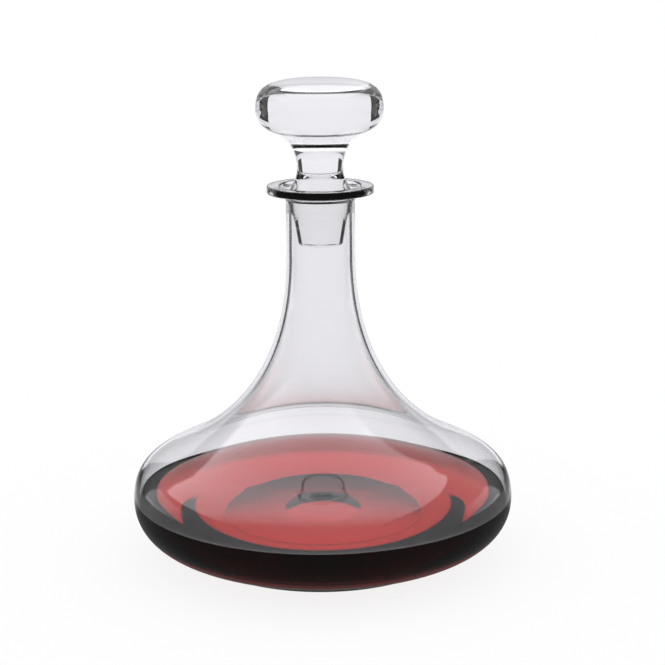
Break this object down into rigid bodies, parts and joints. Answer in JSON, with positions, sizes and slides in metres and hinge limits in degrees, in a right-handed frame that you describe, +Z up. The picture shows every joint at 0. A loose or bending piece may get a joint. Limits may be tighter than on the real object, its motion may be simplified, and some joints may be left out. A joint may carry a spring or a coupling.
{
  "type": "ships decanter",
  "caption": "Clear glass decanter with a wide low bowl, a slim neck with a flat lip and a lift-out ground stopper with a round knob, part filled with red wine.",
  "frame": {"origin": "centre of the flat base, on the table", "axes": "+Z up along the axis that every piece is turned about"},
  "size_m": [0.21, 0.21, 0.2631],
  "materials": {
    "glass": "clear, colourless, fire-polished, with a finely ground band where the stopper seats in the neck",
    "wine": "clear red liquid with a still, level surface"
  },
  "bodies": {
    "decanter": {"vessel": "glass", "wine": "wine"},
    "stopper": {"stopper": "glass"}
  },
  "joints": [
    {"name": "stopper_lift", "type": "slide", "parent": "decanter", "child": "stopper", "axis": [0, 0, 1], "range_m": [0, 0.06]}
  ]
}
